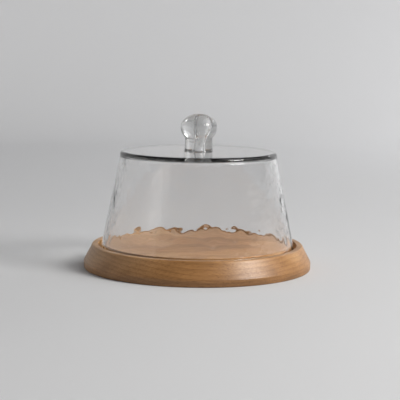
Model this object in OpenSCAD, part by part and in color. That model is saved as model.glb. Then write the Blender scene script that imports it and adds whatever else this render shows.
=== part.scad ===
// Cheese dome: a glass dome with a glass knob. It stands in the groove round the board of a
// turned wooden base, whose top is level with the rim.
// Units are millimetres. +Z is up, and the origin is the centre of the base's underside.
// The dome lifts straight up off the base.

/* [Base] */
// Diameter of the base at its widest
base_d = 280; // [220:1:340]
// Height of the base, from the underside to the top of the rim
base_h = 29; // [24:0.5:40]
// Height of the upright band round the foot of the base
band_h = 8.5; // [6:0.5:12]
// Radius of the rounded edge under the band
foot_round = 1.5; // [0.5:0.1:3]
// How far the side spreads out from the rim to the band
side_w = 9.5; // [4:0.5:16]
// Width of the rim outside the groove
rim_w = 8; // [6:0.1:12]
// Radius of the rim's outer edge
rim_round = 2.5; // [1:0.1:4]
// Radius of the rim's inner edge
rim_inner_round = 0.8; // [0.3:0.1:1.5]
// Angle that the side leans in from upright just above the crease at the band's top
crease_lean = 24; // [5:1:40]
// Angle that the side leans in from upright where it meets the rim's edge
rim_lean = 24; // [5:1:40]

/* [Groove] */
// Depth of the groove below the top of the rim
groove_depth = 8; // [4:0.5:14]
// Gap all round between the foot of the dome and the groove's outer wall
dome_gap = 2.2; // [1:0.1:6]
// Gap all round between the inside of the dome and the board, level with the board's top
board_gap = 3; // [0.5:0.1:6]
// Radius of the board's edge
board_round = 0.4; // [0.2:0.1:1.5]

/* [Dome] */
// Height of the dome, from its lip to the top of its plate
dome_h = 122.5; // [80:0.5:180]
// How far the side leans in between the lip and the top
dome_taper = 24.7; // [0:0.1:40]
// Thickness of the dome's side, measured level
dome_wall = 3; // [2:0.1:5]
// Thickness of the dome's top plate
dome_plate = 4.5; // [3:0.1:8]
// Radius of the shoulder on the outside
shoulder_round = 4; // [2:0.1:8]
// Radius of the shoulder on the inside
shoulder_inner_round = 3; // [1:0.1:8]
// Radius of the two melted edges of the lip
lip_round = 0.9; // [0.3:0.1:0.9]

/* [Knob] */
// Width of the knob's ball
ball_d = 44.5; // [36:0.5:60]
// Height of the ball above its widest level
ball_crown = 16.1; // [12:0.1:24]
// Depth of the ball below its widest level, if the stem didn't cut it short
ball_belly = 20.5; // [16:0.1:28]
// Height of the knob above the dome
knob_h = 45.7; // [40:0.1:60]
// Diameter of the stem where it meets the ball
neck_d = 33.2; // [20:0.2:34]
// Diameter of the stem just above its foot
stem_d = 34.6; // [20:0.2:44]
// Radius of the hollow curve where the stem spreads onto the dome
stem_flare = 1.4; // [0.5:0.1:4]

/* [Quality] */
// Facets round each turned shape
round_fn = 180; // [60:12:360]
// Steps in each small rounded edge
edge_steps = 8; // [4:1:16]
// Steps in each long curve
curve_steps = 24; // [12:1:48]

/* [Hidden] */
base_r = base_d / 2;
rim_r = base_r - side_w;
groove_r = rim_r - rim_w;
floor_z = base_h - groove_depth;
// Top of the side, where it runs into the rim's outer edge
side_end = [rim_r - rim_round * (1 - cos(rim_lean)), base_h - rim_round * (1 - sin(rim_lean))];
side_span = base_r - side_end[0];
side_h = side_end[1] - band_h;
// Share of the side's height at which it passes the level of the groove's floor
floor_t = (floor_z - band_h) / side_h;
lip_r = groove_r - dome_gap;
// Radius at which the dome's side and top would meet if the shoulder were sharp
top_r = lip_r - dome_taper;
top_z = floor_z + dome_h;
// Angle that the dome's side leans in from upright
lean = atan2(dome_taper, dome_h);
board_r = lip_r - dome_wall - groove_depth * tan(lean) - board_gap;
ball_r = ball_d / 2;
ball_z = top_z + knob_h - ball_crown;
// Angle below the ball's widest level at which its outline reaches the stem
neck_angle = acos(neck_d / ball_d);

// Points on a circle of radius r about c, from angle a0 to angle a1
function arc(c, r, a0, a1, steps) =
    [for (i = [0:steps]) let (a = a0 + (a1 - a0) * i / steps) c + r * [cos(a), sin(a)]];

// How far the side has leant in, from 0 at the crease to 1 at the rim, at the height share t.
// It leaves the crease and meets the rim at their own angles.
function lean_in(t) = 3 * t * t - 2 * pow(t, 3)
    + (tan(crease_lean) * (pow(t, 3) - 2 * t * t + t) + tan(rim_lean) * (pow(t, 3) - t * t))
        * side_h / side_span;

// The side's outline between the height shares t0 and t1
function side_curve(t0, t1) =
    [for (i = [0:curve_steps]) let (t = t0 + (t1 - t0) * i / curve_steps)
        [base_r - side_span * lean_in(t), band_h + side_h * t]];

// The ball's outline from angle a0 to angle a1, where half is the height of that half of it
function oval(half, a0, a1) =
    [for (i = [0:curve_steps]) let (a = a0 + (a1 - a0) * i / curve_steps)
        [ball_r * cos(a), ball_z + half * sin(a)]];

// Centre of a round of radius r that touches a side leaning in by the angle lean, where the
// side meets the level z at radius edge_r
function shoulder_centre(edge_r, z, r) = [edge_r - r / tan(45 + lean / 2), z - r];

// The wood below the level of the groove's floor
module wooden_base() {
    color("peru")
    rotate_extrude($fn = round_fn)
    polygon(concat(
        [[0, 0]],
        arc([base_r - foot_round, foot_round], foot_round, -90, 0, edge_steps),
        side_curve(0, floor_t),
        [[0, floor_z]]
    ));
}

// The wood that stands up outside the groove
module wooden_rim() {
    color("peru")
    rotate_extrude($fn = round_fn)
    polygon(concat(
        side_curve(floor_t, 1),
        arc([rim_r - rim_round, base_h - rim_round], rim_round, rim_lean, 90, edge_steps),
        arc([groove_r + rim_inner_round, base_h - rim_inner_round], rim_inner_round,
            90, 180, edge_steps),
        [[groove_r, floor_z]]
    ));
}

// The wood that stands up inside the groove
module wooden_board() {
    color("peru")
    rotate_extrude($fn = round_fn)
    polygon(concat(
        [[0, floor_z], [board_r, floor_z]],
        arc([board_r - board_round, base_h - board_round], board_round, 0, 90, edge_steps),
        [[0, base_h]]
    ));
}

module glass_dome() {
    plate_z = top_z - dome_plate;
    inner_edge_r = top_r - dome_wall + dome_plate * tan(lean);
    outer_foot = [lip_r - lip_round, floor_z + lip_round];
    inner_foot = [lip_r - dome_wall + lip_round, floor_z + lip_round];
    color("lightcyan", 0.4)
    rotate_extrude($fn = round_fn)
    polygon(concat(
        arc(inner_foot, lip_round, 180 + lean, 270, edge_steps),
        arc(outer_foot, lip_round, 270, 360 + lean, edge_steps),
        arc(shoulder_centre(top_r, top_z, shoulder_round), shoulder_round, lean, 90, edge_steps),
        [[0, top_z], [0, plate_z]],
        arc(shoulder_centre(inner_edge_r, plate_z, shoulder_inner_round), shoulder_inner_round,
            90, lean, edge_steps)
    ));
}

module glass_knob() {
    foot = [stem_d / 2 + stem_flare, top_z + stem_flare];
    color("azure", 0.5)
    rotate_extrude($fn = round_fn)
    polygon(concat(
        [[0, top_z]],
        arc(foot, stem_flare, 270, 180, edge_steps),
        oval(ball_belly, -neck_angle, 0),
        oval(ball_crown, 0, 90)
    ));
}

wooden_base();
wooden_rim();
wooden_board();
glass_dome();
glass_knob();
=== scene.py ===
import math

import bmesh
import bpy
import numpy as np
from mathutils import Matrix, Vector


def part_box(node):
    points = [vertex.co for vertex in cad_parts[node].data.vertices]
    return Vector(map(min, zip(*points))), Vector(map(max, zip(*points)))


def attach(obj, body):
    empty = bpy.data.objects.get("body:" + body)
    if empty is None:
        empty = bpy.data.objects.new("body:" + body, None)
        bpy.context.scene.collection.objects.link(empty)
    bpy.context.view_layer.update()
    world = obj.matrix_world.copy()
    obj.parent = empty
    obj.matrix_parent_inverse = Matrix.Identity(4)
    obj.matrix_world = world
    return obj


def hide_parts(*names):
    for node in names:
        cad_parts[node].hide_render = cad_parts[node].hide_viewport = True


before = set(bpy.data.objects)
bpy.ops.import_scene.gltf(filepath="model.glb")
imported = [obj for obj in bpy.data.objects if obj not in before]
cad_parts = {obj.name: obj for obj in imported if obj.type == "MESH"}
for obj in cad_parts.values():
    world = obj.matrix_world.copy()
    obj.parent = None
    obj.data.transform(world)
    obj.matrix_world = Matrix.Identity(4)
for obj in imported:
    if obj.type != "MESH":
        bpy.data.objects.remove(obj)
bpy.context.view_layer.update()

MM = 0.001
dome_lo, dome_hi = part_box("glass_dome")
knob_lo, knob_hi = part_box("glass_knob")

# Camera: as far from the dome as in the photograph, and turned and rolled as its lines show
CAMERA_DISTANCE = 1.5929
CAMERA_HEIGHT = 0.2874
CAMERA_PITCH = 0.1277
CAMERA_ROLL = 0.0134
CAMERA_YAW = 0.0016
CAMERA_LENS = 117.1
SENSOR_WIDTH = 36.0

# Studio: a paper sweep, whose wall is low between these two azimuths
SWEEP_FLAT = 1.75
SWEEP_CURVE = 0.5
SWEEP_TOP = 2.0
SWEEP_LOW_TOP = 0.36
SWEEP_LOW = (-50, 112)
SWEEP_SEGMENTS = 240
FLAT_STEPS = 12
CURVE_STEPS = 16
WALL_STEPS = 8
PAPER = (0.72, 0.722, 0.73)
PAPER_ROUGHNESS = 0.85
PAPER_SHINE = 0.2

# Lamps: directions in degrees, lengths in metres and powers in watts
LAMP_TARGET = Vector((0, 0, 0.08))
WASH_TARGET = Vector((0.75, 2.2, 0.1))
WARM = (1.0, 0.985, 0.96)
COOL = (0.985, 0.99, 1.0)
SKY = (0.96, 0.975, 1.0)
SKY_STRENGTH = 0.13

# Glass: the share of a lamp's light that each surface passes, and how much it takes per metre
GLASS_IOR = 1.5
GLASS_SHADE = 0.79
DOME_TINT = (0.2, 0.203, 0.19)
DOME_DENSITY = 16.0
KNOB_TINT = (0.2, 0.21, 0.2)
KNOB_DENSITY = 12.0

# Glass dome
DOME_WALL = 3.0 * MM
DOME_PLATE = 4.5 * MM
DOME_TAPER = 24.7 * MM
SHOULDER = 4.0 * MM
SHOULDER_INNER = 3.0 * MM
LIP_ROUND = 0.9 * MM
INNER_PLATE_START = 8.0 * MM
SIDE_ROWS = 108
INNER_ROWS = 8
DOME_SEGMENTS = 600

# Hammered side of the dome
HAMMER_SEED = 31
SWELL_PITCH = 15.0 * MM
SWELL_DEPTH = 0.32 * MM
SWELL_SPREAD = 5.0 * MM
RIPPLE_PITCH = 6.0 * MM
RIPPLE_DEPTH = 0.14 * MM
RIPPLE_SPREAD = 2.1 * MM
HAMMER_FADE = 4.5 * MM
# How far a bump strays from its place in the rows, as a share of their pitch
JITTER = 0.42
# Range of a bump's spread, as a share of the usual one, and how many spreads it reaches
SPREAD_LOW = 0.7
SPREAD_HIGH = 1.4
REACH = 5

# Glass knob
BALL_R = 22.25 * MM
BALL_CROWN = 16.1 * MM
BALL_BELLY = 20.5 * MM
NECK_R = 16.6 * MM
STEM_R = 17.3 * MM
STEM_FLARE = 1.4 * MM
KNOB_SEGMENTS = 192
STEM_ROWS = 20
BELLY_ROWS = 28
CROWN_ROWS = 57

# Hot-fused joint: the plate's side of it lies this far below the knob's
JOINT_SUNK = 0.05 * MM
LEVEL = 0.01 * MM

# Pocket of air, from the dome's plate up into the knob
POCKET_FLOOR = 0.8 * MM
POCKET_FOOT = 7.0 * MM
POCKET_ROUND = 0.4 * MM
POCKET_LEDGE = 0.1 * MM
POCKET_MOUTH = 6.0 * MM
POCKET_TRUMPET = 8.0 * MM
POCKET_NECK = 4.4 * MM
POCKET_R = 7.6 * MM
POCKET_CROWN = 12.0 * MM
POCKET_BELLY = 17.0 * MM
POCKET_TIP = 0.2 * MM
POCKET_OFFSET = Vector((3.2, 0.0, 0.0)) * MM
POCKET_ROWS = 44
# Powers that shape the trumpet, and the pocket's swelling below and above its widest level
TRUMPET_POWER = 2.5
BELLY_POWER = 1.5
CROWN_POWER = 0.5

# Wood: the pith of its growth rings lies below the base, and slopes along the grain
PITH_Z = 0.900
PITH_SLOPE = 0.03
RING_WIDTH = 0.0046
RING_WANDER = 0.014
WANDER_SIZE = 0.050
BROAD_SIZE = 0.024
FIBRE_SIZE = 0.0011
PORE_SIZE = 0.00065
WOOD_DARK = (0.245, 0.118, 0.040)
WOOD_MID = (0.37, 0.182, 0.063)
WOOD_LIGHT = (0.46, 0.237, 0.089)
WOOD_PALE = (0.53, 0.300, 0.130)
WOOD_LATE = (0.62, 0.55, 0.46)
WOOD_PORE = (0.35, 0.28, 0.22)
FIBRE_DARK = (0.72, 0.69, 0.66)
FIBRE_LIGHT = (1.15, 1.15, 1.15)
# Broad tone: at the foot, and its change with height, along the grain and towards both ends; the change
# along the grain is painted light, lighter towards the shaded left end and darker towards the lit right
# end
TONE_FOOT = -0.23
TONE_RISE = 10.0
PAINTED_LIGHT_LEAN = -1.0
TONE_ENDS = 12.0
LATE_STRENGTH = 0.5
FIBRE_STRENGTH = 0.75
PORE_STRENGTH = 0.75
ROUGH_DARK = 0.46
ROUGH_LIGHT = 0.32
WOOD_SHINE = 0.5
GRAIN_BUMP = 0.35
GRAIN_HEIGHT = 0.00015
PORE_SUNK = 0.8


# ---------------------------------------------------------------- outlines

def arc(c, r, a0, a1, steps):
    """Points on a circle of radius r about c, from the angle a0 to a1 in degrees."""
    a = np.radians(np.linspace(a0, a1, steps + 1))
    return [(c[0] + r * math.cos(t), c[1] + r * math.sin(t)) for t in a]


def line(p, q, steps):
    """Points from p towards q, without q itself."""
    return [(p[0] + (q[0] - p[0]) * i / steps, p[1] + (q[1] - p[1]) * i / steps) for i in range(steps)]


def link_mesh(name, mesh):
    mesh.polygons.foreach_set("use_smooth", [True] * len(mesh.polygons))
    obj = bpy.data.objects.new(name, mesh)
    bpy.context.scene.collection.objects.link(obj)
    return obj


# ---------------------------------------------------------------- camera and studio

def make_camera():
    data = bpy.data.cameras.new("camera")
    data.lens = CAMERA_LENS
    data.sensor_width = SENSOR_WIDTH
    cam = bpy.data.objects.new("camera", data)
    bpy.context.scene.collection.objects.link(cam)
    cam.location = (0.0, -CAMERA_DISTANCE, CAMERA_HEIGHT)
    turn = Matrix.Rotation(-CAMERA_YAW, 4, "Z")
    turn = turn @ Matrix.Rotation(math.pi / 2 - CAMERA_PITCH, 4, "X")
    turn = turn @ Matrix.Rotation(CAMERA_ROLL, 4, "Z")
    cam.rotation_euler = turn.to_euler()
    bpy.context.scene.camera = cam


def make_studio():
    """A round paper sweep, whose wall is low on the camera's side, so that the room there stays dark."""
    wall_r = SWEEP_FLAT + SWEEP_CURVE
    outline = line((0.0, 0), (SWEEP_FLAT, 0), FLAT_STEPS)
    outline += arc((SWEEP_FLAT, SWEEP_CURVE), SWEEP_CURVE, -90, 0, CURVE_STEPS)
    outline += line((wall_r, SWEEP_CURVE), (wall_r, SWEEP_TOP), WALL_STEPS)
    azimuth = np.degrees(np.arange(SWEEP_SEGMENTS) * 2 * math.pi / SWEEP_SEGMENTS)
    azimuth = (azimuth + 90 + 180) % 360 - 180
    low = (azimuth > SWEEP_LOW[0]) & (azimuth < SWEEP_LOW[1])
    top = np.where(low, SWEEP_LOW_TOP, SWEEP_TOP)
    sweep = lathe_open("sweep", outline, SWEEP_SEGMENTS, top)
    sweep.data.materials.append(paper_material())


def lathe_open(name, outline, segments, top):
    """Turns an outline that starts on the axis about Z, facing up and inwards, and leaves its end open.
    top gives each segment's greatest height."""
    turn = np.arange(segments) * 2 * math.pi / segments
    verts = [(0, 0, outline[0][1])]
    for r, z in outline[1:]:
        verts += [(r * math.cos(t), r * math.sin(t), min(z, top[j])) for j, t in enumerate(turn)]
    faces = [(0, 1 + j, 1 + (j + 1) % segments) for j in range(segments)]
    for i in range(len(outline) - 2):
        a = 1 + i * segments
        b = a + segments
        for j in range(segments):
            k = (j + 1) % segments
            faces.append((a + j, b + j, b + k, a + k))
    mesh = bpy.data.meshes.new(name)
    mesh.from_pydata(verts, [], faces)
    return link_mesh(name, mesh)


def area_light(name, azimuth, elevation, distance, size, power, colour, target=LAMP_TARGET):
    """A soft square lamp. It is placed about LAMP_TARGET, with azimuth 0 on the camera's side and 90
    at +X, and is aimed at target."""
    az = math.radians(azimuth)
    el = math.radians(elevation)
    data = bpy.data.lights.new(name, "AREA")
    data.shape = "RECTANGLE"
    data.size = size
    data.size_y = size
    data.energy = power
    data.color = colour
    lamp = bpy.data.objects.new(name, data)
    bpy.context.scene.collection.objects.link(lamp)
    back = Vector((math.sin(az) * math.cos(el), -math.cos(az) * math.cos(el), math.sin(el)))
    lamp.location = back * distance + LAMP_TARGET
    lamp.rotation_euler = (target - lamp.location).to_track_quat("-Z", "Y").to_euler()


def make_lights():
    area_light("key", azimuth=62, elevation=32, distance=2.6, size=0.95, power=56.0, colour=WARM)
    area_light("window", azimuth=84, elevation=48, distance=3.0, size=2.6, power=19.0, colour=COOL)
    area_light("wall_wash", azimuth=140, elevation=24, distance=2.3, size=0.5, power=6.5, colour=COOL,
               target=WASH_TARGET)
    world = bpy.data.worlds.new("world")
    bpy.context.scene.world = world
    world.use_nodes = True
    bg = world.node_tree.nodes["Background"]
    bg.inputs["Color"].default_value = (*SKY, 1)
    bg.inputs["Strength"].default_value = SKY_STRENGTH


# ---------------------------------------------------------------- meshes of the glass

def lathe(name, outline, segments, joined, push=None):
    """Turns an outline of (radius, height) points, which starts and ends on the axis, about Z.
    joined(radius, height) tells which faces lie inside the hot-fused joint, and push(points, turn)
    gives how far each point moves out along the outline's own normal."""
    pts = np.array(outline)
    n = len(pts)
    d = np.gradient(pts, axis=0)
    normal = np.stack([d[:, 1], -d[:, 0]], 1)
    normal /= np.linalg.norm(normal, axis=1)[:, None] + 1e-12
    turn = np.arange(segments) * 2 * math.pi / segments
    r = np.repeat(pts[:, :1], segments, 1)
    z = np.repeat(pts[:, 1:], segments, 1)
    if push is not None:
        h = push(pts, turn)
        r = r + h * normal[:, :1]
        z = z + h * normal[:, 1:]
    ring = np.stack([r * np.cos(turn), r * np.sin(turn), z], 2)
    verts = [(0, 0, pts[0, 1])] + [tuple(v) for v in ring[1:-1].reshape(-1, 3)] + [(0, 0, pts[-1, 1])]
    last = len(verts) - 1
    end = 1 + (n - 3) * segments
    faces = []
    middle = []
    for j in range(segments):
        k = (j + 1) % segments
        faces.append((0, 1 + k, 1 + j))
        middle.append((pts[0] + pts[1]) / 2)
        faces.append((last, end + j, end + k))
        middle.append((pts[-1] + pts[-2]) / 2)
    for i in range(n - 3):
        a = 1 + i * segments
        b = a + segments
        for j in range(segments):
            k = (j + 1) % segments
            faces.append((a + j, a + k, b + k, b + j))
            middle.append((pts[i + 1] + pts[i + 2]) / 2)
    mesh = bpy.data.meshes.new(name)
    mesh.from_pydata(verts, [], faces)
    mark = mesh.attributes.new("joined", "FLOAT", "FACE")
    mark.data.foreach_set("value", [float(joined(p[0], p[1])) for p in middle])
    mesh.update()
    return link_mesh(name, mesh)


def scatter(rng, radius, low, high, pitch):
    """Jittered rows of places round the dome's side, as turned length and height."""
    girth = 2 * math.pi * radius
    across = round(girth / pitch)
    up = int((high - low) / pitch) + 3
    i, j = np.meshgrid(np.arange(up), np.arange(across), indexing="ij")
    x = (j + 0.5 * (i % 2) + rng.uniform(-JITTER, JITTER, i.shape)) * girth / across
    z = low + (i - 1 + rng.uniform(-JITTER, JITTER, i.shape)) * pitch
    return x.ravel(), z.ravel()


def bumps(rng, turn, heights, radius, low, high, pitch, depth, spread):
    """Rounded bumps and hollows of mixed size, scattered round the dome's side."""
    girth = 2 * math.pi * radius
    place_x, place_z = scatter(rng, radius, low, high, pitch)
    size = depth * rng.uniform(-1.0, 1.0, place_x.shape)
    wide = spread * rng.uniform(SPREAD_LOW, SPREAD_HIGH, place_x.shape)
    total = np.zeros((len(heights), len(turn)))
    for i, z in enumerate(heights):
        near = np.abs(place_z - z) < REACH * spread
        dx = (turn[None, :] * radius - place_x[near][:, None] + girth / 2) % girth - girth / 2
        d2 = dx ** 2 + (z - place_z[near][:, None]) ** 2
        total[i] = (size[near][:, None] * np.exp(-d2 / (2 * wide[near][:, None] ** 2))).sum(0)
    return total


def hammer_depth(turn, heights, radius, low, high):
    """How far each point of the dome's side lies inside its smooth surface: broad swells under
    small ripples, which fade out at the lip and the shoulder."""
    rng = np.random.default_rng(HAMMER_SEED)
    side = (turn, heights, radius, low, high)
    depth = bumps(rng, *side, SWELL_PITCH, SWELL_DEPTH, SWELL_SPREAD)
    depth += bumps(rng, *side, RIPPLE_PITCH, RIPPLE_DEPTH, RIPPLE_SPREAD)
    depth -= depth.min()
    edge = np.minimum(np.minimum((heights - low) / HAMMER_FADE, (high - heights) / HAMMER_FADE), 1.0)
    return depth * (edge * edge * (3 - 2 * edge))[:, None]


def pocket_foot(joint_z, plate_z):
    """Outline of the pocket's lower end, let into the dome's plate, from its mouth to the axis."""
    ledge = (POCKET_MOUTH, joint_z - POCKET_LEDGE)
    round_z = plate_z + POCKET_FLOOR + POCKET_ROUND
    outline = [(POCKET_MOUTH, joint_z), ledge]
    outline += line(ledge, (POCKET_FOOT, round_z), 6)[1:]
    outline += arc((POCKET_FOOT - POCKET_ROUND, round_z), POCKET_ROUND, 0, -90, 6)
    return outline + [(0, plate_z + POCKET_FLOOR)]


def make_dome():
    lip_r = dome_hi.x
    floor_z = dome_lo.z
    top_z = dome_hi.z
    top_r = lip_r - DOME_TAPER
    lean = math.degrees(math.atan2(DOME_TAPER, top_z - floor_z))
    plate_z = top_z - DOME_PLATE
    inner_r = top_r - DOME_WALL + DOME_PLATE * math.tan(math.radians(lean))
    joint_r = STEM_R + STEM_FLARE
    joint_z = top_z - JOINT_SUNK

    def shoulder_centre(r, z, round_r):
        return (r - round_r / math.tan(math.radians(45 + lean / 2)), z - round_r)

    inner = arc(shoulder_centre(inner_r, plate_z, SHOULDER_INNER), SHOULDER_INNER, 90, lean, 10)
    lip = arc((lip_r - DOME_WALL + LIP_ROUND, floor_z + LIP_ROUND), LIP_ROUND, 180 + lean, 270, 5)
    lip += arc((lip_r - LIP_ROUND, floor_z + LIP_ROUND), LIP_ROUND, 270, 360 + lean, 6)
    outer = arc(shoulder_centre(top_r, top_z, SHOULDER), SHOULDER, lean, 90, 12)
    outline = [(0, plate_z)] + line((INNER_PLATE_START, plate_z), inner[0], 10)
    outline += inner[:-1] + line(inner[-1], lip[0], INNER_ROWS)
    first_outer = len(outline) + len(lip) - 1
    outline += lip[:-1] + line(lip[-1], outer[0], SIDE_ROWS)
    outline += outer + line(outer[-1], (joint_r + JOINT_SUNK, top_z), 8)[1:]
    outline += [(joint_r + JOINT_SUNK, top_z), (joint_r, top_z), (joint_r - JOINT_SUNK, joint_z)]
    outline += pocket_foot(joint_z, plate_z)

    def push(pts, turn):
        h = np.zeros((len(pts), len(turn)))
        side = slice(first_outer + 1, first_outer + SIDE_ROWS)
        h[side] = -hammer_depth(turn, pts[side, 1], (lip_r + top_r) / 2, lip[-1][1], outer[0][1])
        return h

    def joined(r, z):
        return POCKET_MOUTH < r < joint_r - JOINT_SUNK and z > joint_z - LEVEL

    dome = lathe("hammered_dome", outline, DOME_SEGMENTS, joined, push)
    dome.data.materials.append(glass_material("dome_glass", DOME_TINT, DOME_DENSITY))
    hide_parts("glass_dome")
    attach(dome, "dome")


def pocket_radius(z, foot_z, ball_z):
    """Radius of the pocket at the height z: a trumpet up the stem that swells inside the ball."""
    above = z > ball_z
    s = (z - ball_z) / (POCKET_CROWN if above else POCKET_BELLY)
    bulb = POCKET_R * max(0.0, 1 - s * s) ** (CROWN_POWER if above else BELLY_POWER)
    flare = max(0.0, 1 - (z - foot_z) / POCKET_TRUMPET) ** TRUMPET_POWER
    stem = POCKET_NECK + (POCKET_MOUTH - POCKET_NECK) * flare
    return max(bulb, stem if s < 0 else POCKET_TIP)


def add_pocket(knob, foot_z, ball_z):
    """Opens the knob's foot into the pocket of air."""
    high_z = ball_z + POCKET_CROWN
    bm = bmesh.new()
    bm.from_mesh(knob.data)
    bm.verts.ensure_lookup_table()
    rows = [[bm.verts[1 + j] for j in range(KNOB_SEGMENTS)]]
    bmesh.ops.delete(bm, geom=[bm.verts[0]], context="VERTS")
    for i in range(1, POCKET_ROWS):
        z = foot_z + (high_z - foot_z) * i / (POCKET_ROWS - 0.5)
        r = pocket_radius(z, foot_z, ball_z)
        shift = POCKET_OFFSET * min(1.0, (z - foot_z) / (ball_z - foot_z))
        ring = []
        for j in range(KNOB_SEGMENTS):
            a = 2 * math.pi * j / KNOB_SEGMENTS
            ring.append(bm.verts.new((shift[0] + r * math.cos(a), shift[1] + r * math.sin(a), z)))
        rows.append(ring)
    for a, b in zip(rows, rows[1:]):
        for j in range(KNOB_SEGMENTS):
            k = (j + 1) % KNOB_SEGMENTS
            bm.faces.new((a[j], b[j], b[k], a[k])).smooth = True
    bm.faces.new(rows[-1][::-1]).smooth = True
    bm.to_mesh(knob.data)
    bm.free()


def make_knob():
    foot_z = knob_lo.z
    crown_z = knob_hi.z
    ball_z = crown_z - BALL_CROWN
    neck = math.acos(NECK_R / BALL_R)
    neck_z = ball_z - BALL_BELLY * math.sin(neck)
    foot_r = STEM_R + STEM_FLARE
    outline = [(0, foot_z)] + line((POCKET_MOUTH, foot_z), (foot_r, foot_z), 6)
    outline += arc((foot_r, foot_z + STEM_FLARE), STEM_FLARE, 270, 180, 8)
    outline += line((STEM_R, foot_z + STEM_FLARE), (NECK_R, neck_z), STEM_ROWS)[1:]
    for i in range(BELLY_ROWS):
        t = -neck + neck * i / BELLY_ROWS
        outline.append((BALL_R * math.cos(t), ball_z + BALL_BELLY * math.sin(t)))
    for i in range(CROWN_ROWS):
        t = math.pi / 2 * i / CROWN_ROWS
        outline.append((BALL_R * math.cos(t), ball_z + BALL_CROWN * math.sin(t)))
    outline.append((0, crown_z))

    def joined(r, z):
        return z < foot_z + LEVEL and r < foot_r

    knob = lathe("clear_knob", outline, KNOB_SEGMENTS, joined)
    add_pocket(knob, foot_z, ball_z)
    knob.data.materials.append(glass_material("knob_glass", KNOB_TINT, KNOB_DENSITY))
    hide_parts("glass_knob")
    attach(knob, "dome")


# ---------------------------------------------------------------- materials

def new_material(name):
    mat = bpy.data.materials.new(name)
    mat.use_nodes = True
    mat.node_tree.nodes.clear()
    return mat, mat.node_tree.nodes, mat.node_tree.links


def glass_material(name, colour, density):
    """Clear glass that lets lamps through, and that is one piece with its neighbour at the joint."""
    mat, nodes, links = new_material(name)
    out = nodes.new("ShaderNodeOutputMaterial")
    lit = nodes.new("ShaderNodeMixShader")
    whole = nodes.new("ShaderNodeMixShader")
    path = nodes.new("ShaderNodeLightPath")
    shade = nodes.new("ShaderNodeBsdfTransparent")
    shade.inputs["Color"].default_value = (GLASS_SHADE, GLASS_SHADE, GLASS_SHADE, 1)
    clear = nodes.new("ShaderNodeBsdfTransparent")
    clear.inputs["Color"].default_value = (1, 1, 1, 1)
    joined = nodes.new("ShaderNodeAttribute")
    joined.attribute_name = "joined"
    bsdf = nodes.new("ShaderNodeBsdfPrincipled")
    bsdf.inputs["Base Color"].default_value = (1, 1, 1, 1)
    bsdf.inputs["Roughness"].default_value = 0.0
    bsdf.inputs["IOR"].default_value = GLASS_IOR
    bsdf.inputs["Transmission Weight"].default_value = 1.0
    volume = nodes.new("ShaderNodeVolumeAbsorption")
    volume.inputs["Color"].default_value = (*colour, 1)
    volume.inputs["Density"].default_value = density
    links.new(path.outputs["Is Shadow Ray"], lit.inputs[0])
    links.new(bsdf.outputs[0], lit.inputs[1])
    links.new(shade.outputs[0], lit.inputs[2])
    links.new(joined.outputs["Fac"], whole.inputs[0])
    links.new(lit.outputs[0], whole.inputs[1])
    links.new(clear.outputs[0], whole.inputs[2])
    links.new(whole.outputs[0], out.inputs["Surface"])
    links.new(volume.outputs[0], out.inputs["Volume"])
    return mat


def maths(nodes, links, operation, a, b=None):
    """A Math node on two inputs, each of which is a socket or a number."""
    node = nodes.new("ShaderNodeMath")
    node.operation = operation
    for socket, value in zip(node.inputs, (a, b)):
        if isinstance(value, bpy.types.NodeSocket):
            links.new(value, socket)
        elif value is not None:
            socket.default_value = value
    return node.outputs[0]


def noise(nodes, links, place, scale, size, detail, roughness):
    """Noise over places that are first stretched by scale, with features of about the given size."""
    stretch = nodes.new("ShaderNodeVectorMath")
    stretch.operation = "MULTIPLY"
    stretch.inputs[1].default_value = scale
    links.new(place, stretch.inputs[0])
    node = nodes.new("ShaderNodeTexNoise")
    node.inputs["Scale"].default_value = 1 / size
    node.inputs["Detail"].default_value = detail
    node.inputs["Roughness"].default_value = roughness
    links.new(stretch.outputs[0], node.inputs["Vector"])
    return node.outputs["Fac"]


def grey(value):
    return (value, value, value)


def ramp(nodes, links, factor, stops):
    """A colour ramp through stops, each a place and a colour."""
    node = nodes.new("ShaderNodeValToRGB")
    while len(node.color_ramp.elements) < len(stops):
        node.color_ramp.elements.new(0.5)
    for element, (place, colour) in zip(node.color_ramp.elements, stops):
        element.position = place
        element.color = (*colour, 1)
    links.new(factor, node.inputs[0])
    return node.outputs[0]


def multiply(nodes, links, factor, a, b):
    """The colour socket a multiplied by b, a socket or a colour, with the strength factor."""
    node = nodes.new("ShaderNodeMix")
    node.data_type = "RGBA"
    node.blend_type = "MULTIPLY"
    links.new(a, node.inputs[6])
    if isinstance(factor, bpy.types.NodeSocket):
        links.new(factor, node.inputs["Factor"])
    else:
        node.inputs["Factor"].default_value = factor
    if isinstance(b, bpy.types.NodeSocket):
        links.new(b, node.inputs[7])
    else:
        node.inputs[7].default_value = (*b, 1)
    return node.outputs[2]


def late_wood(nodes, links, place, x, y, z):
    """How far each place lies in the dark late wood of its growth ring, from 0.1 to 1."""
    wander = noise(nodes, links, place, (0.12, 0.6, 1), WANDER_SIZE, 2.0, 0.5)
    slope = maths(nodes, links, "MULTIPLY", x, PITH_SLOPE)
    up = maths(nodes, links, "ADD", maths(nodes, links, "ADD", z, PITH_Z), slope)
    y2 = maths(nodes, links, "MULTIPLY", y, y)
    up2 = maths(nodes, links, "MULTIPLY", up, up)
    radius = maths(nodes, links, "SQRT", maths(nodes, links, "ADD", y2, up2))
    radius = maths(nodes, links, "ADD", radius, maths(nodes, links, "MULTIPLY", wander, RING_WANDER))
    ring = maths(nodes, links, "FRACT", maths(nodes, links, "DIVIDE", radius, RING_WIDTH))
    stops = [(0.0, grey(0.1)), (0.45, grey(0.3)), (0.82, grey(1.0)), (1.0, grey(0.1))]
    return ramp(nodes, links, ring, stops)


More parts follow.
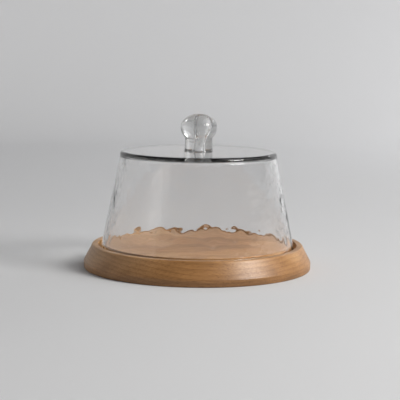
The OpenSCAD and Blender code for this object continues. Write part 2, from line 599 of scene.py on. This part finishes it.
def wood_tone(nodes, links, place, x, z):
    """The wood's broad colour bands, with painted light from end to end: lighter towards the shaded left
    end, darker towards the lit right end.
    """
    broad = noise(nodes, links, place, (0.10, 0.5, 1), BROAD_SIZE, 3.0, 0.5)
    x2 = maths(nodes, links, "MULTIPLY", x, x)
    across = maths(nodes, links, "MULTIPLY", x2, TONE_ENDS)
    # Painted light: the wood is made lighter towards the shaded left end and darker towards the lit
    # right end
    across = maths(nodes, links, "ADD", across, maths(nodes, links, "MULTIPLY", x, PAINTED_LIGHT_LEAN))
    across = maths(nodes, links, "ADD", across, maths(nodes, links, "MULTIPLY", z, TONE_RISE))
    broad = maths(nodes, links, "ADD", broad, maths(nodes, links, "ADD", across, TONE_FOOT))
    stops = [(0.30, WOOD_DARK), (0.47, WOOD_MID), (0.58, WOOD_LIGHT), (0.72, WOOD_PALE)]
    return ramp(nodes, links, broad, stops)


def wood_material():
    """Oiled hardwood sawn flat, with its grain along X: growth rings about a pith under the base,
    broad colour bands that carry painted light (lighter on the shaded left, darker on the lit right),
    fine fibres and open pores."""
    mat, nodes, links = new_material("wood")
    out = nodes.new("ShaderNodeOutputMaterial")
    bsdf = nodes.new("ShaderNodeBsdfPrincipled")
    place = nodes.new("ShaderNodeTexCoord").outputs["Object"]
    split = nodes.new("ShaderNodeSeparateXYZ")
    links.new(place, split.inputs[0])
    x, y, z = split.outputs

    late = maths(nodes, links, "MULTIPLY", late_wood(nodes, links, place, x, y, z), LATE_STRENGTH)
    colour = multiply(nodes, links, late, wood_tone(nodes, links, place, x, z), WOOD_LATE)
    fibre = noise(nodes, links, place, (0.05, 1, 1), FIBRE_SIZE, 4.0, 0.6)
    fibre_tone = ramp(nodes, links, fibre, [(0.32, FIBRE_DARK), (0.68, FIBRE_LIGHT)])
    colour = multiply(nodes, links, FIBRE_STRENGTH, colour, fibre_tone)
    pore = noise(nodes, links, place, (0.07, 1, 1), PORE_SIZE, 1.0, 0.4)
    pore = ramp(nodes, links, pore, [(0.27, grey(1)), (0.36, grey(0))])
    pore_tone = maths(nodes, links, "MULTIPLY", pore, PORE_STRENGTH)
    colour = multiply(nodes, links, pore_tone, colour, WOOD_PORE)
    links.new(colour, bsdf.inputs["Base Color"])

    rough = ramp(nodes, links, fibre, [(0.3, grey(ROUGH_DARK)), (0.7, grey(ROUGH_LIGHT))])
    links.new(rough, bsdf.inputs["Roughness"])
    bsdf.inputs["Specular IOR Level"].default_value = WOOD_SHINE
    bump = nodes.new("ShaderNodeBump")
    bump.inputs["Strength"].default_value = GRAIN_BUMP
    bump.inputs["Distance"].default_value = GRAIN_HEIGHT
    height = maths(nodes, links, "SUBTRACT", fibre, maths(nodes, links, "MULTIPLY", pore, PORE_SUNK))
    links.new(height, bump.inputs["Height"])
    links.new(bump.outputs[0], bsdf.inputs["Normal"])
    links.new(bsdf.outputs[0], out.inputs[0])
    return mat


def paper_material():
    mat, nodes, links = new_material("paper")
    out = nodes.new("ShaderNodeOutputMaterial")
    bsdf = nodes.new("ShaderNodeBsdfPrincipled")
    bsdf.inputs["Base Color"].default_value = (*PAPER, 1)
    bsdf.inputs["Roughness"].default_value = PAPER_ROUGHNESS
    bsdf.inputs["Specular IOR Level"].default_value = PAPER_SHINE
    links.new(bsdf.outputs[0], out.inputs[0])
    return mat


def dress_wood():
    """Gives the base's three nodes one wood, so that its grain runs through them."""
    wood = wood_material()
    for name in ("wooden_base", "wooden_rim", "wooden_board"):
        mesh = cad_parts[name].data
        mesh.materials.clear()
        mesh.materials.append(wood)


make_camera()
make_studio()
make_lights()
make_dome()
make_knob()
dress_wood()

scene = bpy.context.scene
scene.view_settings.view_transform = "Standard"
scene.cycles.max_bounces = 20
scene.cycles.transmission_bounces = 20
scene.cycles.glossy_bounces = 12
scene.cycles.transparent_max_bounces = 24
